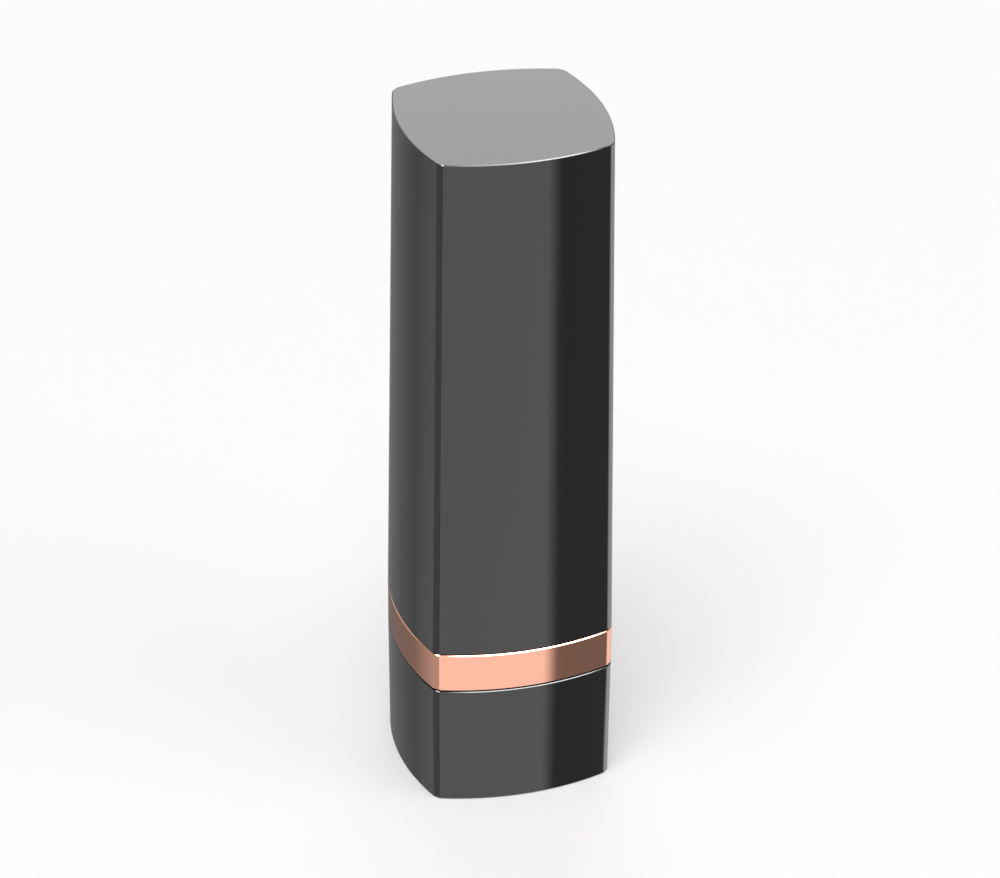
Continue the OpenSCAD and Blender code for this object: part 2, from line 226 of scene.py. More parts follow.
def only(piece):
    """Makes one piece the active and the only selected one."""
    deselect()
    piece.select_set(True)
    bpy.context.view_layer.objects.active = piece


def added(name):
    """Names the primitive just added, and moves its place into its mesh."""
    piece = bpy.context.active_object
    piece.name = piece.data.name = name
    bpy.ops.object.transform_apply(location=True, rotation=True, scale=True)
    return piece


def edit(piece):
    """Opens a piece in edit mode with all of it selected."""
    only(piece)
    bpy.ops.object.mode_set(mode="EDIT")
    bpy.ops.mesh.select_all(action="SELECT")


def done():
    """Closes the open piece, and clears what its mesh remembers of its old shape."""
    bpy.ops.object.mode_set(mode="OBJECT")
    bpy.context.active_object.data.update()


def cut(point, away, fill=False):
    """Cuts the open piece with a plane, and drops what lies on the side that away points to."""
    bpy.ops.mesh.select_all(action="SELECT")
    bpy.ops.mesh.bisect(
        plane_co=point, plane_no=away, clear_outer=True, use_fill=fill, threshold=ON_PLANE
    )


def merge(distance):
    """Merges the vertices of the open piece that lie nearer to each other than a distance."""
    bpy.ops.mesh.select_all(action="SELECT")
    bpy.ops.mesh.remove_doubles(threshold=distance)


def weld():
    """Merges doubles in the open piece, drops slivers and points the faces outwards."""
    merge(SAME_PLACE)
    bpy.ops.mesh.dissolve_degenerate(threshold=SAME_PLACE)
    bpy.ops.mesh.normals_make_consistent(inside=False)


def copy_to_all_sides():
    """Copies the open piece to the other three sides of the case, and joins the copies."""
    bpy.ops.mesh.select_all(action="SELECT")
    bpy.ops.mesh.spin(
        steps=3, dupli=True, angle=math.radians(270), center=(0, 0, 0), axis=(0, 0, 1)
    )
    weld()


def modify(piece, kind, **settings):
    """Adds a modifier to a piece and applies it."""
    only(piece)
    modifier = piece.modifiers.new(kind.title(), kind)
    for name, value in settings.items():
        setattr(modifier, name, value)
    bpy.ops.object.modifier_apply(modifier=modifier.name)


def combine(piece, operation, *others):
    """Cuts, joins or intersects a piece with others, which then go, and drops the slivers."""
    for other in others:
        modify(piece, "BOOLEAN", operation=operation, object=other, solver="EXACT")
        mesh = other.data
        bpy.data.objects.remove(other)
        bpy.data.meshes.remove(mesh)
    edit(piece)
    weld()
    done()


def round_edges(piece, width, segments=1, sharper_than=BREAK_ANGLE):
    """Breaks the edges of a piece that turn by more than an angle, with a chamfer or a round."""
    modify(
        piece, "BEVEL", width=width, segments=segments, limit_method="ANGLE",
        angle_limit=math.radians(sharper_than), miter_outer="MITER_ARC",
    )


def smooth(piece, crease=CREASE_ANGLE):
    """Smooths a piece, apart from the edges that turn by more than an angle."""
    only(piece)
    bpy.ops.object.shade_smooth_by_angle(angle=math.radians(crease))


def polish(piece, crease=CREASE_ANGLE):
    """Smooths a piece with softened edges, so that its broad faces stay true."""
    smooth(piece, crease)
    modify(piece, "WEIGHTED_NORMAL", mode="FACE_AREA", weight=100, keep_sharp=True)


def dress(piece, body, nodes, material):
    """Gives a piece its finish, its body and the solids that it stands for."""
    piece.data.materials.clear()
    piece.data.materials.append(material)
    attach(piece, body)
    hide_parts(*nodes)


# ---- The two kinds of shape: bowed blocks and turned pieces ----

CONE_VERTICES = 900   # round the whole cone, of which a bowed side is a small part
TURN_STEPS = 192      # round a turned piece
ROUND_STEPS = 12      # along each arc of a turned piece's profile
FLAT_ANGLE = 0.05     # faces that turn by fewer degrees are made one


def bow_radius(half):
    """Radius of a side's arc. All arcs of a side share their centre."""
    return sizes().bow_offset + half


def flat_distance(half, flat):
    """From the axis to the middle of a corner's flat.

    Uncut, the arcs of two sides would meet at X and Y of the length named corner."""
    radius = bow_radius(half)
    offset = sizes().bow_offset
    corner = (math.sqrt(2 * radius**2 - offset**2) - offset) / 2
    lean = math.radians(45) + math.asin(corner / radius)
    return math.sqrt(2) * corner - flat / 2 / math.tan(lean)


def bowed_block(name, bottom, top, bottom_half, top_half, flat):
    """A square block with bowed sides and flat corners, which may taper upwards.

    Its half widths are taken at the middle of a side, and flat is the width of a corner. One
    side's cone is cut to the quarter between the diagonals and copied round the axis, and the
    corners are then cut flat."""
    deselect()
    bpy.ops.mesh.primitive_cone_add(
        vertices=CONE_VERTICES, radius1=bow_radius(bottom_half), radius2=bow_radius(top_half),
        depth=top - bottom, end_fill_type="NGON",
        location=(-sizes().bow_offset, 0, (bottom + top) / 2),
    )
    block = added(name)
    edit(block)
    for side in (1, -1):
        cut((0, 0, 0), (-1, side, 0))
    copy_to_all_sides()
    foot, head = flat_distance(bottom_half, flat), flat_distance(top_half, flat)
    lean = math.atan2(foot - head, top - bottom)
    for corner in (45, 135, 225, 315):
        x, y = math.cos(math.radians(corner)), math.sin(math.radians(corner))
        cut(
            (foot * x, foot * y, bottom),
            (x * math.cos(lean), y * math.cos(lean), math.sin(lean)),
            fill=True,
        )
    weld()
    bpy.ops.mesh.dissolve_limited(angle_limit=math.radians(FLAT_ANGLE))
    done()
    return block


def turned(name, start, path):
    """A turned piece: its profile is drawn from one vertex, and spun about the axis.

    The profile starts at a radius and a height. Each item of path is either its next corner or
    an arc: the radius and the height of its centre, and the angle to swing about it."""
    deselect()
    bpy.ops.mesh.primitive_circle_add(vertices=3, radius=MM / 10, location=(start[0], 0, start[1]))
    piece = added(name)
    edit(piece)
    bpy.ops.mesh.merge(type="CENTER")   # leaves one vertex to draw from
    at = Vector(start)
    for item in path:
        if len(item) == 2:
            step = Vector(item) - at
            bpy.ops.mesh.extrude_vertices_move(
                TRANSFORM_OT_translate={"value": (step.x, 0, step.y)}
            )
            at = Vector(item)
        else:
            centre, swing = Vector(item[:2]), item[2]
            bpy.ops.mesh.spin(
                steps=ROUND_STEPS, angle=swing, center=(centre.x, 0, centre.y), axis=(0, 1, 0)
            )
            arm = at - centre
            at = centre + Vector((
                arm.x * math.cos(swing) - arm.y * math.sin(swing),
                arm.x * math.sin(swing) + arm.y * math.cos(swing),
            ))
    merge(SAME_PLACE)
    bpy.ops.mesh.spin(steps=TURN_STEPS, angle=2 * math.pi, center=(0, 0, 0), axis=(0, 0, 1))
    weld()
    done()
    return piece


def arc(radius, height, degrees=90):
    """An arc about a centre, for the path of a turned piece."""
    return (radius, height, math.radians(degrees))


# ---- Shader maths ----

class Wire:
    """A node's output that takes Python's arithmetic. Each sum adds one Math node."""

    def __init__(self, tree, socket):
        self.tree = tree
        self.socket = socket

    def beside(self, output):
        """Another output of the same node."""
        return Wire(self.tree, self.socket.node.outputs[output])

    def __add__(self, other):
        return self.tree.math("ADD", self, other)

    __radd__ = __add__

    def __mul__(self, other):
        return self.tree.math("MULTIPLY", self, other)

    __rmul__ = __mul__

    def __truediv__(self, other):
        return self.tree.math("DIVIDE", self, other)

    def __rtruediv__(self, other):
        return self.tree.math("DIVIDE", other, self)


class Tree:
    """Builds the nodes of one material or world."""

    def __init__(self, owner):
        owner.use_nodes = True
        self.nodes = owner.node_tree.nodes
        self.links = owner.node_tree.links
        self.nodes.clear()

    def add(self, kind, settings=None, sockets=None, output=0):
        """Adds a node of a type with its settings, then sets or links its sockets."""
        node = self.nodes.new(kind)
        for name, value in (settings or {}).items():
            if name == "stops":
                self.set_stops(node.color_ramp, value)
            else:
                setattr(node, name, value)
        for name, value in (sockets or {}).items():
            if isinstance(value, Wire):
                self.links.new(value.socket, node.inputs[name])
            else:
                node.inputs[name].default_value = value
        return Wire(self, node.outputs[output]) if node.outputs else None

    @staticmethod
    def set_stops(ramp, stops):
        """Gives a ramp its stops, each a position and a grey."""
        while len(ramp.elements) > 1:
            ramp.elements.remove(ramp.elements[-1])
        for number, (position, level) in enumerate(stops):
            element = ramp.elements[0] if number == 0 else ramp.elements.new(position)
            element.position = position
            element.color = grey(level)

    def math(self, operation, *values):
        """One sum on wires and numbers."""
        return self.add("ShaderNodeMath", {"operation": operation}, dict(enumerate(values)))

    def place(self, density=(1, 1, 1)):
        """Object coordinates, with a density of the pattern along each axis."""
        coordinates = self.add("ShaderNodeTexCoord", output="Object")
        return self.add("ShaderNodeMapping", {}, {"Vector": coordinates, "Scale": density})

    def noise(self, scale, detail=3, roughness=0.5, density=(1, 1, 1)):
        """Noise from 0 to 1 at a scale per metre. A density below 1 draws it out."""
        return self.add(
            "ShaderNodeTexNoise", {},
            {"Vector": self.place(density), "Scale": scale, "Detail": detail,
             "Roughness": roughness},
        )

    def spread(self, wire, low_in, high_in, low_out, high_out):
        """Stretches a value from one range to another, and stops it at the ends."""
        return self.add(
            "ShaderNodeMapRange", {"clamp": True},
            {"Value": wire, "From Min": low_in, "From Max": high_in, "To Min": low_out,
             "To Max": high_out},
        )

    def mix(self, share, first, second):
        """Mixes two colours."""
        return self.add(
            "ShaderNodeMix", {"data_type": "RGBA"}, {0: share, 6: first, 7: second}, output=2
        )

    def shades(self, share, base, darker, lighter):
        """Mixes two shades of a colour, each given as a factor on it."""
        return self.mix(share, rgba(base, darker), rgba(base, lighter))

    def bump(self, height, depth):
        """A normal from a height that runs from 0 to 1, over a depth in metres."""
        return self.add("ShaderNodeBump", {}, {"Height": height, "Distance": depth})

    def surface(self, **sockets):
        """Finishes a material with a Principled shader. A socket's name has _ for each space."""
        shader = self.add(
            "ShaderNodeBsdfPrincipled", {},
            {name.replace("_", " "): value for name, value in sockets.items()},
        )
        self.add("ShaderNodeOutputMaterial", {}, {"Surface": shader})


def rgba(base, factor=1):
    """A colour with full alpha, made lighter or darker."""
    return (*(channel * factor for channel in base), 1)


def grey(level):
    """A grey with full alpha."""
    return (level, level, level, 1)


def new_material(name):
    """A new material, and the tree that builds its nodes."""
    material = bpy.data.materials.new(name)
    return material, Tree(material)


# ---- Finishes ----

def black_lacquer():
    """Sprayed black lacquer under a clear coat, polished to a mirror."""
    material, tree = new_material("mirror_lacquer")
    wipe = tree.noise(55, detail=4, density=(1, 1, 0.25))
    orange_peel = tree.noise(900, detail=1)
    tree.surface(
        Base_Color=tree.shades(wipe, colours().lacquer, 0.8, 1.25),
        Roughness=tree.spread(wipe, 0.35, 0.75, 0.05, 0.10),
        IOR=1.45,
        Coat_Weight=1.0,
        Coat_Roughness=0.015,
        Coat_IOR=1.45,
        Normal=tree.bump(orange_peel, 0.6 * MICRON),
    )
    return material


def rose_gold():
    """Polished and anodised aluminium, with a trace of the lathe's polishing marks."""
    material, tree = new_material("polished_rose_gold")
    cloud = tree.noise(90)
    fine = tree.noise(700, detail=4, roughness=0.7, density=(0.05, 0.05, 6))
    tree.surface(
        Base_Color=tree.shades(cloud, colours().rose_gold, 0.96, 1),
        Metallic=1.0,
        Roughness=tree.spread(fine * 0.6 + cloud * 0.4, 0.3, 0.7, 0.055, 0.10),
        Normal=tree.bump(fine, 0.4 * MICRON),
    )
    return material


def plum_satin():
    """Plum plastic with a fine satin finish."""
    material, tree = new_material("plum_satin")
    cloud = tree.noise(140)
    tree.surface(
        Base_Color=tree.shades(cloud, colours().plum, 0.92, 1.08),
        Roughness=tree.spread(cloud, 0.3, 0.7, 0.52, 0.60),
        IOR=1.3,
        Normal=tree.bump(tree.noise(6000, detail=2), 3 * MICRON),
    )
    return material


def lip_wax():
    """Cast lipstick: smooth where the mould polished it, faintly waxy in the body."""
    material, tree = new_material("lip_wax")
    cloud = tree.noise(160, detail=4)
    streak = tree.noise(120, density=(1, 1, 0.12))
    tree.surface(
        Base_Color=tree.shades(cloud * 0.5 + streak * 0.5, colours().wax, 0.9, 1.1),
        Roughness=tree.spread(streak, 0.3, 0.7, 0.22, 0.30),
        IOR=1.45,
        Subsurface_Weight=0.12,
        Subsurface_Radius=(1.0, 0.25, 0.15),
        Subsurface_Scale=0.8 * MM,
        Coat_Weight=0.2,
        Coat_Roughness=0.08,
        Normal=tree.bump(tree.noise(1500), 3 * MICRON),
    )
    return material


def ivory_plastic():
    """Natural moulded plastic with a fine spark finish."""
    material, tree = new_material("natural_plastic")
    cloud = tree.noise(80)
    grain = tree.noise(5200, detail=2)
    tree.surface(
        Base_Color=tree.shades(cloud, colours().ivory, 0.95, 1.02),
        Roughness=tree.spread(grain, 0.3, 0.7, 0.42, 0.55),
        Subsurface_Weight=0.08,
        Subsurface_Scale=0.6 * MM,
        Normal=tree.bump(grain, 4 * MICRON),
    )
    return material


def turned_steel():
    """Steel with the rings that the lathe left."""
    material, tree = new_material("turned_steel")
    rings = tree.add(
        "ShaderNodeTexWave", {"wave_type": "RINGS", "rings_direction": "Z", "wave_profile": "SIN"},
        {"Vector": tree.place(), "Scale": 900, "Distortion": 0.6},
        output="Fac",
    )
    tree.surface(
        Base_Color=tree.shades(rings, colours().steel, 0.9, 1.05),
        Metallic=1.0,
        Roughness=tree.spread(rings, 0, 1, 0.28, 0.40),
        Normal=tree.bump(rings, 3 * MICRON),
    )
    return material


def drag_rubber():
    """Matt black rubber."""
    material, tree = new_material("matt_rubber")
    grain = tree.noise(2600)
    tree.surface(
        Base_Color=tree.shades(grain, colours().rubber, 0.85, 1.2),
        Roughness=tree.spread(grain, 0.3, 0.7, 0.7, 0.85),
        Normal=tree.bump(grain, 10 * MICRON),
    )
    return material


MADE = {}


def finish(make):
    """The material that a function makes, made once and shared."""
    if make not in MADE:
        MADE[make] = make()
    return MADE[make]


# ---- Pieces ----

class PieceOperator:
    """What all operators share: they can be undone."""

    bl_options = {"REGISTER", "UNDO"}


class LIPSTICK_OT_cap(PieceOperator, bpy.types.Operator):
    """Hollow square cap with bowed, tapered sides"""

    bl_idname = "lipstick.cap"
    bl_label = "Cap"

    def execute(self, context):
        size = sizes()
        foot, top, half = low("cap_shell"), high("cap_shell"), reach("cap_shell")
        slope = size.cap_taper / (top - foot)
        ceiling = top - size.cap_top
        cap = bowed_block("lacquered_cap", foot, top, half, half - size.cap_taper, size.case_flat)
        round_edges(cap, size.edge)
        hollow = bowed_block(
            "cap_hollow", foot - PAST, ceiling,
            half + slope * PAST - size.cap_wall,
            half - slope * (ceiling - foot) - size.cap_wall,
            size.case_flat,
        )
        combine(cap, "DIFFERENCE", hollow)
        polish(cap)
        dress(cap, "cap", ["cap_shell"], finish(black_lacquer))
        return {"FINISHED"}


class LIPSTICK_OT_liner(PieceOperator, bpy.types.Operator):
    """Moulded lining of the cap, whose mouth fits the collar and clears its ribs"""

    bl_idname = "lipstick.liner"
    bl_label = "Cap lining"

    def execute(self, context):
        size = sizes()
        foot, top, half = low("cap_liner"), high("cap_liner"), reach("cap_liner")
        slope = size.cap_taper / (high("cap_shell") - foot)
        mouth = collar_half() + size.liner_gap
        wall = half - mouth
        mouth_top = shoulder_top() + size.liner_mouth
        ceiling = top - size.liner_top
        liner = bowed_block(
            "cap_lining", foot, top, half, half - slope * (top - foot), size.case_flat
        )
        bore = bowed_block("lining_mouth", foot - PAST, mouth_top, mouth, mouth, size.collar_flat)
        hollow = bowed_block(
            "lining_hollow", mouth_top - PAST, ceiling,
            half - slope * (mouth_top - PAST - foot) - wall,
            half - slope * (ceiling - foot) - wall,
            size.collar_flat,
        )
        combine(liner, "DIFFERENCE", bore, hollow, *self.groove_bars(foot))
        smooth(liner)
        dress(liner, "cap", ["cap_liner"], finish(ivory_plastic))
        return {"FINISHED"}

    def groove_bars(self, foot):
        """Two bars, each of which cuts the grooves of two ribs that face each other."""
        size = sizes()
        long = 2 * (reach("collar") + size.liner_gap)
        wide = size.rib_width + 2 * size.liner_gap
        height = size.rib_top + size.liner_gap
        bars = []
        for across in ((long, wide), (wide, long)):
            deselect()
            bpy.ops.mesh.primitive_cube_add(
                size=1, location=(0, 0, foot + (height - PAST) / 2), scale=(*across, height + PAST)
            )
            bars.append(added("groove_bar"))
        return bars


class LIPSTICK_OT_base(PieceOperator, bpy.types.Operator):
    """Lacquered base with the round recess of its disc"""

    bl_idname = "lipstick.base"
    bl_label = "Base"

    def execute(self, context):
        size = sizes()
        foot, top, half = low("base_shell"), high("base_shell"), reach("base_shell")
        foot_half = half - size.base_taper
        recess = high("bottom_disc")
        base = bowed_block("lacquered_base", foot, top, foot_half, half, size.case_flat)
        round_edges(base, size.edge)
        inside = bowed_block(
            "base_hollow", recess + size.base_floor, top + PAST,
            foot_half - size.base_wall, foot_half - size.base_wall, size.case_flat,
        )
        radius = reach("bottom_disc") + size.seat_gap
        well = turned(
            "disc_well", (0, foot - PAST), [(radius, foot - PAST), (radius, recess), (0, recess)]
        )
        combine(base, "DIFFERENCE", inside, well)
        polish(base)
        dress(base, "base", ["base_shell"], finish(black_lacquer))
        return {"FINISHED"}


class LIPSTICK_OT_disc(PieceOperator, bpy.types.Operator):
    """Plum disc set into the foot of the base"""

    bl_idname = "lipstick.disc"
    bl_label = "Bottom disc"

    def execute(self, context):
        edge = sizes().edge
        foot, top, radius = low("bottom_disc"), high("bottom_disc"), reach("bottom_disc")
        disc = turned("plum_disc", (0, foot), [
            (radius - edge, foot), arc(radius - edge, foot + edge), (radius, top), (0, top),
        ])
        smooth(disc)
        dress(disc, "base", ["bottom_disc"], finish(plum_satin))
        return {"FINISHED"}


class LIPSTICK_OT_band(PieceOperator, bpy.types.Operator):
    """Square rose-gold band whose top is the ledge that the cap stands on"""

    bl_idname = "lipstick.band"
    bl_label = "Band"

    def execute(self, context):
        size = sizes()
        foot, top, half = low("collar_band"), high("collar_band"), reach("collar_band")
        hole = collar_half()
        band = bowed_block("gold_band", foot, top, half, half, size.case_flat)
        round_edges(band, size.edge)
        inside = bowed_block("band_hole", foot - PAST, top + PAST, hole, hole, size.collar_flat)
        combine(band, "DIFFERENCE", inside)
        polish(band)
        dress(band, "sleeve", ["collar_band"], finish(rose_gold))
        return {"FINISHED"}


class LIPSTICK_OT_collar(PieceOperator, bpy.types.Operator):
    """Square collar with ribs, whose domed shoulder runs up into the lower tube"""

    bl_idname = "lipstick.collar"
    bl_label = "Collar and lower tube"

    CREASE = 12         # also the crests where the bowed sides cut the dome stay sharp
    RIB_VERTICES = 48   # round the cylinder that the top of a rib is half of
    RIB_CORNER = 40     # only the rim of a rib's face is rounded, not its round top

    def execute(self, context):
        size = sizes()
        foot, rim, half = low("collar"), high("collar"), collar_half()
        collar = turned("gold_collar", (size.lower_tube_bore, foot), self.profile(foot, rim, half))
        block = bowed_block("collar_block", foot, rim + PAST, half, half, size.collar_flat)
        round_edges(block, size.edge)
        combine(collar, "INTERSECT", block)
        combine(collar, "UNION", self.ribs(half))
        smooth(collar, self.CREASE)
        dress(collar, "sleeve", ["collar"], finish(rose_gold))
        return {"FINISHED"}

    def profile(self, foot, rim, half):
        """Path up the dome and the lower tube, over its rounded rim and down the bore.

        The dome's arc passes through the collar's corners and the foot of the lower tube."""
        size = sizes()
        shoulder = shoulder_top()
        corner = Vector((flat_distance(half, size.collar_flat), shoulder - size.shoulder_height))
        tube_foot = Vector((size.lower_tube_foot, shoulder))
        chord = tube_foot - corner
        back = math.sqrt(size.shoulder_radius**2 - chord.length_squared / 4)
        inwards = Vector((-chord.y, chord.x)).normalized()
        centre = (corner + tube_foot) / 2 + inwards * back
        side = centre.x + size.shoulder_radius
        sweep = math.atan2(tube_foot.y - centre.y, tube_foot.x - centre.x)
        wall = size.lower_tube_rim - size.lower_tube_bore
        return [
            (side, foot), (side, centre.y), (*centre, sweep),
            (size.lower_tube_rim, rim - wall),
            arc(size.lower_tube_rim - wall, rim - wall),
            (size.lower_tube_bore, foot),
        ]

    def ribs(self, half):
        """Four flat ribs with round tops, one in the middle of each side."""
        size = sizes()
        ledge = high("collar_band")
        radius = size.rib_width / 2
        root = size.lower_tube_rim - size.lower_tube_bore
        middle = ledge + size.rib_top - radius
        deselect()
        bpy.ops.mesh.primitive_cylinder_add(
            vertices=self.RIB_VERTICES, radius=radius, depth=root,
            rotation=(0, math.radians(90), 0),
            location=(half + size.rib_out - root / 2, 0, middle),
        )
        ribs = added("ribs")
        edit(ribs)
        cut((0, 0, middle), (0, 0, -1), fill=True)
        bpy.ops.mesh.extrude_region_move(
            TRANSFORM_OT_translate={"value": (0, 0, ledge - middle - size.edge)}
        )
        done()
        round_edges(ribs, size.edge / 2, segments=2, sharper_than=self.RIB_CORNER)
        edit(ribs)
        cut((0, 0, ledge), (0, 0, -1), fill=True)
        copy_to_all_sides()
        done()
        return ribs


class LIPSTICK_OT_upper_tube(PieceOperator, bpy.types.Operator):
    """Drawn tube with a rolled rim that the bullet rises through"""

    bl_idname = "lipstick.upper_tube"
    bl_label = "Upper tube"

    def execute(self, context):
        size = sizes()
        foot, rim, seam = low("upper_tube"), high("upper_tube"), high("collar")
        foot_r, roll = reach("upper_tube"), size.upper_rim_radius
        lip = size.upper_rim_thickness / 2
        tube = turned("gold_tube", (size.upper_tube_bore, foot), [
            (foot_r, foot), (foot_r, seam), (size.upper_tube_rim, rim - roll),
            arc(size.upper_tube_rim - roll, rim - roll),
            (size.rim_hole + lip, rim),
            arc(size.rim_hole + lip, rim - lip, 180),
            (size.upper_tube_bore, rim - size.upper_rim_thickness),
            (size.upper_tube_bore, foot),
        ])
        smooth(tube)
        dress(tube, "sleeve", ["upper_tube"], finish(rose_gold))
        return {"FINISHED"}


class LIPSTICK_OT_bullet(PieceOperator, bpy.types.Operator):
    """Cast bullet with a flared foot and a slanted cut"""

    bl_idname = "lipstick.bullet"
    bl_label = "Bullet"

    SPARE = 1.5 * MM              # what is turned above the tip, for the cut to take off
    CUT_LEANS = (60, 40, 20, 0)   # slopes of the round at the cut's rim, in degrees from the cut
    CREASE = 64                   # the round at the cut's rim is smoothed with its neighbours

    def execute(self, context):
        start = high("cup") + sizes().bullet_arc_start
        bullet = turned("lip_bullet", (0, low("bullet")), self.profile(start))
        edit(bullet)
        self.slant(start)
        self.round_cut()
        done()
        polish(bullet, self.CREASE)
        dress(bullet, "carrier", ["bullet"], finish(lip_wax))
        return {"FINISHED"}

    def profile(self, start):
        """Path up the foot in the cup, round the hollow of the flare and up the side."""
        size = sizes()
        foot, cup, over = low("bullet"), high("cup"), high("bullet") + self.SPARE
        radius, flare = size.bullet_radius, reach("bullet")
        rise = size.flare_height - size.flare_edge
        hollow_r = (rise**2 + (flare - radius) ** 2) / (2 * (flare - radius))
        hollow = math.asin(rise / hollow_r)
        drawn = math.asin((over - start) / size.bullet_arc)
        return [
            (radius, foot), (radius, cup), (flare, cup), (flare, cup + size.flare_edge),
            (radius + hollow_r, cup + size.flare_height, -hollow),
            (radius, start),
            (radius - size.bullet_arc, start, drawn),
            (0, over),
        ]

    def slant(self, start):
        """Cuts the tip off along a slope, and merges the short edges that the cut leaves."""
        size = sizes()
        tip = high("bullet")
        rise = tip - start
        tip_r = size.bullet_radius - size.bullet_arc + math.sqrt(size.bullet_arc**2 - rise**2)
        x, y = math.cos(size.cut_heading), math.sin(size.cut_heading)
        slope = size.cut_slope
        away = Vector((x * math.sin(slope), y * math.sin(slope), math.cos(slope)))
        cut(Vector((-tip_r * x, -tip_r * y, tip)) - away * size.cut_round / 2, away, fill=True)
        merge(size.cut_round / 10)
        weld()

    def round_cut(self):
        """Rounds the rim of the cut with insets of its face that climb an arc."""
        radius = sizes().cut_round
        leans = [math.radians(lean) for lean in self.CUT_LEANS]
        bpy.ops.mesh.select_all(action="DESELECT")
        bpy.ops.mesh.select_face_by_sides(number=TURN_STEPS // 2, type="GREATER", extend=False)
        for lower, upper in zip(leans, leans[1:]):
            bpy.ops.mesh.inset(
                thickness=radius * (math.sin(lower) - math.sin(upper)),
                depth=radius * (math.cos(upper) - math.cos(lower)),
            )


class LIPSTICK_OT_mechanism(PieceOperator, bpy.types.Operator):
    """Finishes of the solids that work inside the case"""

    bl_idname = "lipstick.mechanism"
    bl_label = "Mechanism finishes"

    FINISHES = {
        "base_weight": turned_steel,
        "base_core": ivory_plastic,
        "fork_tube": ivory_plastic,
        "drag_washer": drag_rubber,
        "cam_tube": ivory_plastic,
        "cup": ivory_plastic,
    }

    def execute(self, context):
        for node, make in self.FINISHES.items():
            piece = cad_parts[node]
            piece.data.materials.clear()
            piece.data.materials.append(finish(make))
        return {"FINISHED"}


# ---- Stage ----

FLOOR_RADIUS = 4.0
FLOOR_VERTICES = 96
FLOOR_GAP = MM / 50      # under the case's foot, so that the two faces don't fight
FLOOR_FADE = (0.1, 0.4)  # distances from the axis between which the floor fades to white
FLOOR_GLOW = 0.12        # light that the floor seems to give off
FLOOR_BOUNCE = 0.4       # factor on the colour that it throws back on the case

# Each lamp's name, place, width and power.
LAMPS = (
    ("key_lamp", (-0.20, -0.30, 0.90), 0.5, 4.4),
    ("fill_lamp", (0.55, -0.45, 0.60), 0.6, 1.3),
    ("back_lamp", (0.15, 0.60, 0.60), 0.5, 1.3),
)

SENSOR_WIDTH = 36   # of the camera, in millimetres
CLIP_START = 0.01   # nearest distance that the camera sees

# Brightness of the surroundings, as polished surfaces show them. Each pair in a row of panels
# is a heading in degrees from +X and a brightness. Below the horizon are pale and grey walls
# and two dark boards. An even grey lies just above it, and then come soft boxes with dark walls
# between them. Strong soft boxes stand higher up, and a broad one hangs overhead.
LOW_PANELS = (
    (-180, 0.50), (-157, 0.50), (-151, 1.10), (-66, 1.10), (-60, 0.20), (-31, 0.20), (-25, 1.05),
    (28, 1.05), (36, 0.45), (78, 0.40), (86, 0.18), (128, 0.22), (146, 0.50), (180, 0.50),
)
JUST_ABOVE = 0.7
HIGH_PANELS = (
    (-180, 0.30), (-162, 0.30), (-148, 0.95), (-68, 0.95), (-60, 2.40), (-38, 2.40), (-30, 0.30),
    (4, 0.30), (16, 1.00), (38, 1.85), (112, 1.85), (130, 0.60), (150, 0.30), (180, 0.30),
)
UPPER_PANELS = (
    (-180, 0.80), (-174, 0.80), (-168, 14.00), (-148, 14.00), (-140, 1.00), (-112, 1.00),
    (-98, 14.00), (-36, 14.00), (-24, 0.90), (14, 0.90), (32, 3.00), (150, 3.00), (168, 0.80),
    (180, 0.80),
)
OVERHEAD = 3.0
BRIGHTEST = 14.0

# Elevations in degrees between which each layer, from the grey just above the horizon to the
# light overhead, takes over from the one under it.
LAYER_STARTS = ((1, 9), (20, 25), (40, 46), (60, 66))


def towards_case(place):
    """The turn of a lamp or a camera that looks from a place at the middle of the case."""
    middle = (CAD_BOX[0] + CAD_BOX[1]) / 2
    return (middle - Vector(place)).to_track_quat("-Z", "Y")


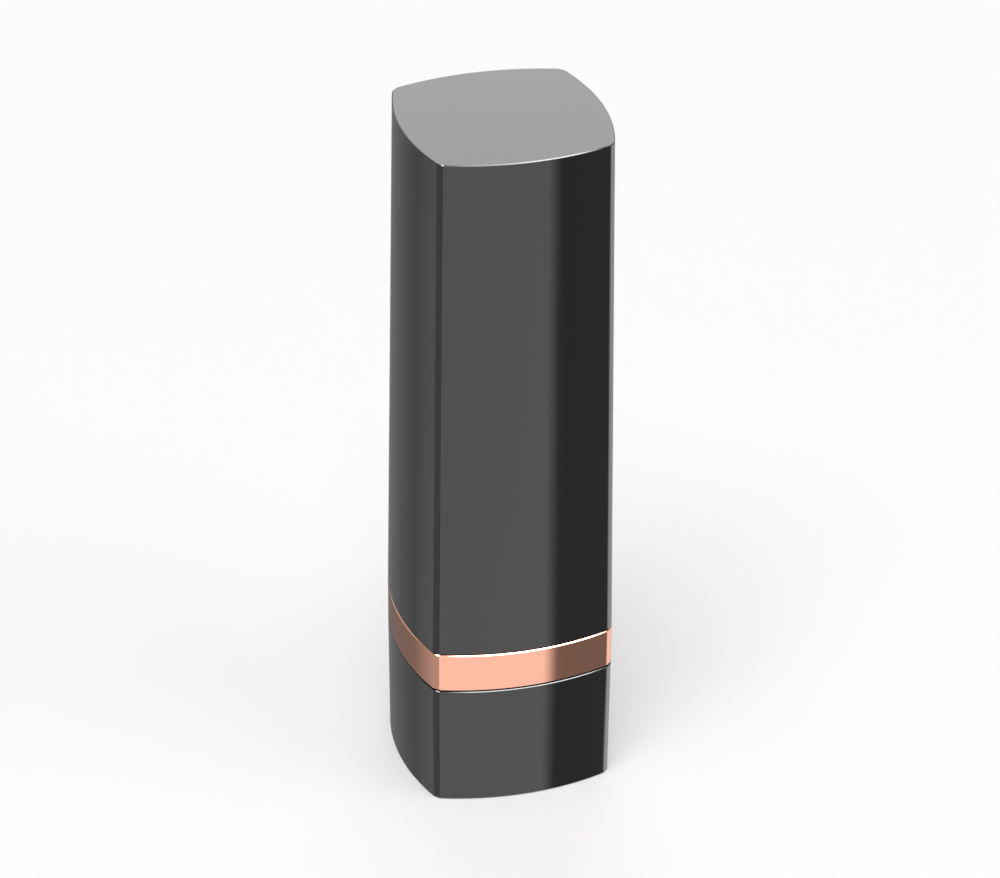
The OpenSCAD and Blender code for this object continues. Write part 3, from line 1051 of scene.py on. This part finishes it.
class LIPSTICK_OT_stage(PieceOperator, bpy.types.Operator):
    """Pale floor, studio surroundings, soft lamps and the camera"""

    bl_idname = "lipstick.stage"
    bl_label = "Stage"

    def execute(self, context):
        self.floor()
        self.surroundings()
        self.lamps()
        self.camera()
        context.scene.view_settings.view_transform = "Standard"
        return {"FINISHED"}

    def floor(self):
        """A round floor just under the case's foot.

        The camera sees it bright and fading to white, while the case gets a dimmer light from
        it and doesn't mirror it."""
        deselect()
        bpy.ops.mesh.primitive_circle_add(
            vertices=FLOOR_VERTICES, radius=FLOOR_RADIUS, fill_type="NGON",
            location=(0, 0, low("base_shell") - FLOOR_GAP),
        )
        floor = added("floor")
        material, tree = new_material("pale_floor")
        grain = tree.noise(30, detail=2)
        card = tree.add(
            "ShaderNodeBsdfDiffuse", {},
            {"Color": tree.shades(grain, colours().floor, 0.995, 1)},
        )
        glow = tree.add("ShaderNodeEmission", {}, {"Strength": FLOOR_GLOW})
        lit = tree.add("ShaderNodeAddShader", {}, {0: card, 1: glow})
        coordinates = tree.add("ShaderNodeTexCoord", output="Object")
        distance = tree.add(
            "ShaderNodeVectorMath", {"operation": "LENGTH"}, {0: coordinates}, output="Value"
        )
        far = tree.spread(distance, *FLOOR_FADE, 0, 1)
        white = tree.add("ShaderNodeEmission", {}, {"Strength": 1})
        faded = tree.add("ShaderNodeMixShader", {}, {0: far, 1: lit, 2: white})
        dim = tree.add("ShaderNodeBsdfDiffuse", {}, {"Color": rgba(colours().floor, FLOOR_BOUNCE)})
        seen = tree.add("ShaderNodeLightPath", output="Is Camera Ray")
        shader = tree.add("ShaderNodeMixShader", {}, {0: seen, 1: dim, 2: faded})
        tree.add("ShaderNodeOutputMaterial", {}, {"Surface": shader})
        floor.data.materials.append(material)
        floor.visible_glossy = False

    def surroundings(self):
        """White for the camera, even light for all, and panels that only reflections show."""
        world = bpy.data.worlds.new("studio")
        bpy.context.scene.world = world
        tree = Tree(world)
        direction = tree.add("ShaderNodeTexCoord", output="Generated")
        x = tree.add("ShaderNodeSeparateXYZ", {}, {"Vector": direction}, output="X")
        y, z = x.beside("Y"), x.beside("Z")
        heading = tree.math("ARCTAN2", y, x) / (2 * math.pi) + 0.5
        low_part, high_part, upper_part = (
            self.panels(heading, stops) for stops in (LOW_PANELS, HIGH_PANELS, UPPER_PANELS)
        )
        layers = (
            grey(JUST_ABOVE / BRIGHTEST), high_part, upper_part, grey(OVERHEAD / BRIGHTEST)
        )
        pattern = low_part
        for layer, elevations in zip(layers, LAYER_STARTS):
            start, end = (math.sin(math.radians(elevation)) for elevation in elevations)
            pattern = tree.mix(tree.spread(z, start, end, 0, 1), pattern, layer)
        camera = tree.add("ShaderNodeLightPath", output="Is Camera Ray")
        plain = tree.mix(camera, grey(bpy.context.scene.studio.room_light), grey(1))
        lit = tree.add("ShaderNodeBackground", {}, {"Color": plain, "Strength": 1})
        shown = tree.add("ShaderNodeBackground", {}, {"Color": pattern, "Strength": BRIGHTEST})
        glossy = camera.beside("Is Glossy Ray")
        shader = tree.add("ShaderNodeMixShader", {}, {0: glossy, 1: lit, 2: shown})
        tree.add("ShaderNodeOutputWorld", {}, {"Surface": shader})

    def panels(self, heading, stops):
        """A row of panels, as a share of the brightest, from a heading that runs from 0 to 1."""
        shares = [(degrees / 360 + 0.5, level / BRIGHTEST) for degrees, level in stops]
        return heading.tree.add("ShaderNodeValToRGB", {"stops": shares}, {"Fac": heading})

    def lamps(self):
        """Three broad soft lamps, aimed at the middle of the case."""
        for name, place, width, power in LAMPS:
            bpy.ops.object.light_add(type="AREA", location=place)
            lamp = bpy.context.active_object
            lamp.name = lamp.data.name = name
            lamp.data.size = width
            lamp.data.energy = power * bpy.context.scene.studio.lamp_power
            lamp.rotation_mode = "QUATERNION"
            lamp.rotation_quaternion = towards_case(place)
            lamp.visible_glossy = False

    def camera(self):
        """The camera, aimed at the middle of the case."""
        studio = bpy.context.scene.studio
        bpy.ops.object.camera_add(location=studio.camera_place)
        camera = bpy.context.active_object
        camera.name = camera.data.name = "camera"
        camera.data.lens = studio.camera_lens
        camera.data.sensor_width = SENSOR_WIDTH
        camera.data.clip_start = CLIP_START
        aim = towards_case(studio.camera_place).to_matrix()
        roll = Matrix.Rotation(studio.camera_roll, 3, Vector((0, 0, 1)))
        camera.rotation_mode = "QUATERNION"
        camera.rotation_quaternion = (aim @ roll).to_quaternion()
        bpy.context.scene.camera = camera


# ---- Add-on ----

class LIPSTICK_PT_build(bpy.types.Panel):
    """Lists the pieces of the case and the stage"""

    bl_label = "Lipstick Case"
    bl_space_type = "VIEW_3D"
    bl_region_type = "UI"
    bl_category = "Lipstick"

    def draw(self, context):
        for operator in OPERATORS:
            self.layout.operator(operator.bl_idname)
        for group in GROUPS:
            box = self.layout.box()
            settings = getattr(context.scene, group)
            for name in settings.__annotations__:
                box.prop(settings, name)


OPERATORS = (
    LIPSTICK_OT_stage,
    LIPSTICK_OT_base,
    LIPSTICK_OT_disc,
    LIPSTICK_OT_band,
    LIPSTICK_OT_collar,
    LIPSTICK_OT_upper_tube,
    LIPSTICK_OT_bullet,
    LIPSTICK_OT_cap,
    LIPSTICK_OT_liner,
    LIPSTICK_OT_mechanism,
)
GROUPS = {"case_sizes": CaseSizes, "case_colours": CaseColours, "studio": StudioSettings}


def register():
    """Registers the settings on the scene, the operators and the panel."""
    for name, group in GROUPS.items():
        bpy.utils.register_class(group)
        setattr(bpy.types.Scene, name, bpy.props.PointerProperty(type=group))
    for cls in (*OPERATORS, LIPSTICK_PT_build):
        bpy.utils.register_class(cls)


def unregister():
    """Takes back all that register did."""
    for cls in (*OPERATORS, LIPSTICK_PT_build):
        bpy.utils.unregister_class(cls)
    for name, group in GROUPS.items():
        delattr(bpy.types.Scene, name)
        bpy.utils.unregister_class(group)


def main():
    """Builds the stage and every piece."""
    register()
    for operator in OPERATORS:
        group, name = operator.bl_idname.split(".")
        getattr(getattr(bpy.ops, group), name)()


if __name__ == "__main__":
    main()
